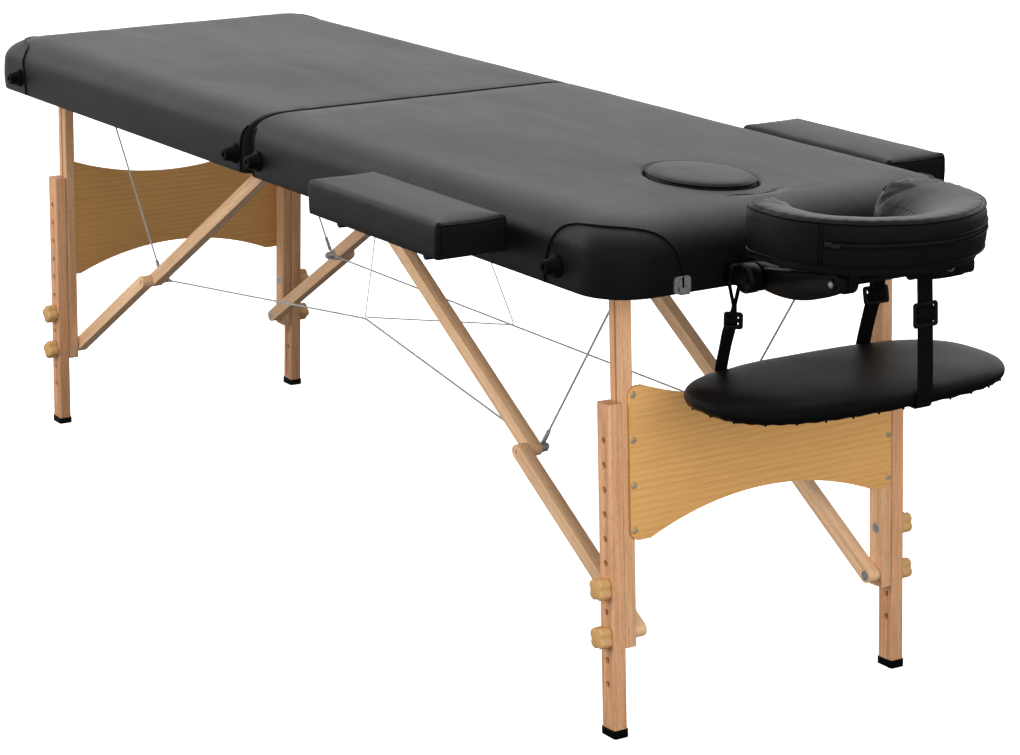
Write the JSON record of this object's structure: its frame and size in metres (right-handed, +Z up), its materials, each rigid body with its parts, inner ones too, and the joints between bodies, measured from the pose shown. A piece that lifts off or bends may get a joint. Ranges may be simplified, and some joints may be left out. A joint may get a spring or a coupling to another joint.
{
  "type": "portable massage table",
  "caption": "Folding massage table: two padded halves on sliding wooden legs with hinged braces and cables, a tilting face cradle, hanging arm shelf, side armrests and a face-hole plug.",
  "frame": {"origin": "on the floor, under the middle of the open table's bounding box with its cradle and armrests fitted", "axes": "+X to the head end with the face cradle, +Z up, so -Y is the side with the rubber bumpers"},
  "size_m": [2.129, 0.83, 0.72],
  "materials": {
    "vinyl": "satin",
    "vinyl_side": "satin",
    "plywood": "matte",
    "beech": "satin",
    "panel_wood": "satin",
    "rubber": "matte",
    "steel": "satin",
    "cable": "satin",
    "webbing": "matte",
    "black_plastic": "satin",
    "knob_plastic": "satin"
  },
  "bodies": {
    "foot_half": {"foot_cushion": "vinyl", "foot_side_wrap": "vinyl_side", "foot_deck": "plywood", "foot_frame": "beech", "foot_bumpers": "rubber", "foot_fittings": "steel", "foot_handle": "webbing", "suspension_cords": "cable"},
    "head_half": {"head_cushion": "vinyl", "head_side_wrap": "vinyl_side", "head_deck": "plywood", "head_frame": "beech", "head_bumpers": "rubber", "head_fittings": "steel", "head_handle": "webbing", "rail_sockets": "steel"},
    "headrest_base": {"headrest_base": "black_plastic"},
    "headrest_arms": {"headrest_arms": "black_plastic"},
    "headrest_near_knob": {"headrest_near_knob": "black_plastic"},
    "headrest_far_knob": {"headrest_far_knob": "black_plastic"},
    "cam_lever": {"cam_lever": "black_plastic"},
    "cradle": {"cradle_platform": "black_plastic", "face_pillow": "vinyl"},
    "sling": {"sling_straps": "webbing", "sling_shelf": "vinyl"},
    "near_armrest": {"near_armrest": "vinyl", "near_armrest_rods": "steel"},
    "far_armrest": {"far_armrest": "vinyl", "far_armrest_rods": "steel"},
    "face_plug": {"face_plug": "vinyl"},
    "near_latch": {"near_latch_lever": "steel"},
    "far_latch": {"far_latch_lever": "steel"},
    "head_legs": {"head_posts": "beech", "head_panel": "panel_wood", "head_leg_fasteners": "steel"},
    "head_upper_brace": {"head_upper_braces": "beech", "head_knuckle_eyes": "steel"},
    "head_lower_brace": {"head_lower_braces": "beech"},
    "head_near_leg": {"head_near_leg": "beech", "head_near_foot": "rubber"},
    "head_near_upper_knob": {"head_near_upper_knob": "knob_plastic"},
    "head_near_lower_knob": {"head_near_lower_knob": "knob_plastic"},
    "head_far_leg": {"head_far_leg": "beech", "head_far_foot": "rubber"},
    "head_far_upper_knob": {"head_far_upper_knob": "knob_plastic"},
    "head_far_lower_knob": {"head_far_lower_knob": "knob_plastic"},
    "foot_legs": {"foot_posts": "beech", "foot_panel": "panel_wood", "foot_leg_fasteners": "steel"},
    "foot_upper_brace": {"foot_upper_braces": "beech", "foot_knuckle_eyes": "steel"},
    "foot_lower_brace": {"foot_lower_braces": "beech"},
    "foot_near_leg": {"foot_near_leg": "beech", "foot_near_foot": "rubber"},
    "foot_near_upper_knob": {"foot_near_upper_knob": "knob_plastic"},
    "foot_near_lower_knob": {"foot_near_lower_knob": "knob_plastic"},
    "foot_far_leg": {"foot_far_leg": "beech", "foot_far_foot": "rubber"},
    "foot_far_upper_knob": {"foot_far_upper_knob": "knob_plastic"},
    "foot_far_lower_knob": {"foot_far_lower_knob": "knob_plastic"}
  },
  "joints": [
    {"name": "centre_fold", "type": "hinge", "parent": "foot_half", "child": "head_half", "pos_m": [-0.1255, 0, 0.596], "axis": [0, 1, 0], "range_deg": [0, 90], "deforming": ["suspension_cords"]},
    {"name": "head_leg_fold", "type": "hinge", "parent": "head_half", "child": "head_legs", "pos_m": [0.7005, 0, 0.6205], "axis": [0, 1, 0], "range_deg": [0, 92.68], "deforming": ["suspension_cords"]},
    {"name": "head_upper_brace_fold", "type": "hinge", "parent": "head_half", "child": "head_upper_brace", "pos_m": [-0.0385, 0, 0.6125], "axis": [0, 1, 0], "range_deg": [-34.2, 0.2]},
    {"name": "head_lower_brace_fold", "type": "hinge", "parent": "head_legs", "child": "head_lower_brace", "pos_m": [0.72315, 0, 0.13585], "axis": [0, 1, 0], "range_deg": [-0.2, 53.6]},
    {"name": "head_near_leg_slide", "type": "slide", "parent": "head_legs", "child": "head_near_leg", "axis": [-0.0467, 0, 0.9989], "range_m": [-0.13, 0.065]},
    {"name": "head_near_upper_knob_turn", "type": "hinge", "parent": "head_legs", "child": "head_near_upper_knob", "pos_m": [0.72012, -0.25, 0.20078], "axis": [0, -1, 0], "continuous": true},
    {"name": "head_near_lower_knob_turn", "type": "hinge", "parent": "head_legs", "child": "head_near_lower_knob", "pos_m": [0.72315, -0.25, 0.13585], "axis": [0, -1, 0], "continuous": true},
    {"name": "head_far_leg_slide", "type": "slide", "parent": "head_legs", "child": "head_far_leg", "axis": [-0.0467, 0, 0.9989], "range_m": [-0.13, 0.065]},
    {"name": "head_far_upper_knob_turn", "type": "hinge", "parent": "head_legs", "child": "head_far_upper_knob", "pos_m": [0.72012, 0.25, 0.20078], "axis": [0, 1, 0], "continuous": true},
    {"name": "head_far_lower_knob_turn", "type": "hinge", "parent": "head_legs", "child": "head_far_lower_knob", "pos_m": [0.72315, 0.25, 0.13585], "axis": [0, 1, 0], "continuous": true},
    {"name": "foot_leg_fold", "type": "hinge", "parent": "foot_half", "child": "foot_legs", "pos_m": [-0.9515, 0, 0.6205], "axis": [0, -1, 0], "range_deg": [0, 92.68], "deforming": ["suspension_cords"]},
    {"name": "foot_upper_brace_fold", "type": "hinge", "parent": "foot_half", "child": "foot_upper_brace", "pos_m": [-0.2125, 0, 0.6125], "axis": [0, -1, 0], "range_deg": [-34.2, 0.2]},
    {"name": "foot_lower_brace_fold", "type": "hinge", "parent": "foot_legs", "child": "foot_lower_brace", "pos_m": [-0.97415, 0, 0.13585], "axis": [0, -1, 0], "range_deg": [-0.2, 53.6]},
    {"name": "foot_near_leg_slide", "type": "slide", "parent": "foot_legs", "child": "foot_near_leg", "axis": [0.0467, 0, 0.9989], "range_m": [-0.13, 0.065]},
    {"name": "foot_near_upper_knob_turn", "type": "hinge", "parent": "foot_legs", "child": "foot_near_upper_knob", "pos_m": [-0.97112, -0.25, 0.20078], "axis": [0, -1, 0], "continuous": true},
    {"name": "foot_near_lower_knob_turn", "type": "hinge", "parent": "foot_legs", "child": "foot_near_lower_knob", "pos_m": [-0.97415, -0.25, 0.13585], "axis": [0, -1, 0], "continuous": true},
    {"name": "foot_far_leg_slide", "type": "slide", "parent": "foot_legs", "child": "foot_far_leg", "axis": [0.0467, 0, 0.9989], "range_m": [-0.13, 0.065]},
    {"name": "foot_far_upper_knob_turn", "type": "hinge", "parent": "foot_legs", "child": "foot_far_upper_knob", "pos_m": [-0.97112, 0.25, 0.20078], "axis": [0, 1, 0], "continuous": true},
    {"name": "foot_far_lower_knob_turn", "type": "hinge", "parent": "foot_legs", "child": "foot_far_lower_knob", "pos_m": [-0.97415, 0.25, 0.13585], "axis": [0, 1, 0], "continuous": true},
    {"name": "headrest_pull", "type": "slide", "parent": "head_half", "child": "headrest_base", "axis": [1, 0, 0], "range_m": [0, 0.15]},
    {"name": "headrest_tilt", "type": "hinge", "parent": "headrest_base", "child": "headrest_arms", "pos_m": [0.8445, 0, 0.618], "axis": [0, 1, 0], "range_deg": [-8, 20], "deforming": ["sling_straps"]},
    {"name": "cradle_tilt", "type": "hinge", "parent": "headrest_arms", "child": "cradle", "pos_m": [0.9915, 0, 0.638], "axis": [0, 1, 0], "range_deg": [0, 35]},
    {"name": "sling_swing", "type": "hinge", "parent": "headrest_base", "child": "sling", "pos_m": [0.895, 0, 0.618], "axis": [0, 1, 0], "range_deg": [-10, 10], "deforming": ["sling_straps"]},
    {"name": "headrest_near_knob_turn", "type": "hinge", "parent": "headrest_base", "child": "headrest_near_knob", "pos_m": [0.8445, -0.118, 0.618], "axis": [0, -1, 0], "continuous": true},
    {"name": "headrest_far_knob_turn", "type": "hinge", "parent": "headrest_base", "child": "headrest_far_knob", "pos_m": [0.8445, 0.118, 0.618], "axis": [0, 1, 0], "continuous": true},
    {"name": "cam_lever_swing", "type": "hinge", "parent": "headrest_arms", "child": "cam_lever", "pos_m": [0.9915, 0.059, 0.638], "axis": [0, -1, 0], "range_deg": [0, 60]},
    {"name": "near_armrest_pull", "type": "slide", "parent": "head_half", "child": "near_armrest", "axis": [0, -1, 0], "range_m": [0, 0.12]},
    {"name": "far_armrest_pull", "type": "slide", "parent": "head_half", "child": "far_armrest", "axis": [0, 1, 0], "range_m": [0, 0.12]},
    {"name": "plug_lift", "type": "slide", "parent": "head_half", "child": "face_plug", "axis": [0, 0, 1], "range_m": [0, 0.09]},
    {"name": "near_latch_swing", "type": "hinge", "parent": "foot_half", "child": "near_latch", "pos_m": [-1.0611, -0.192, 0.612], "axis": [0, 1, 0], "range_deg": [0, 120]},
    {"name": "far_latch_swing", "type": "hinge", "parent": "foot_half", "child": "far_latch", "pos_m": [-1.0611, 0.192, 0.612], "axis": [0, 1, 0], "range_deg": [0, 120]}
  ],
  "couplings": [
    {"joint": "head_upper_brace_fold", "follows": "head_leg_fold", "ratio": -0.36519},
    {"joint": "head_lower_brace_fold", "follows": "head_leg_fold", "ratio": 0.57707},
    {"joint": "foot_upper_brace_fold", "follows": "foot_leg_fold", "ratio": -0.36519},
    {"joint": "foot_lower_brace_fold", "follows": "foot_leg_fold", "ratio": 0.57707}
  ]
}
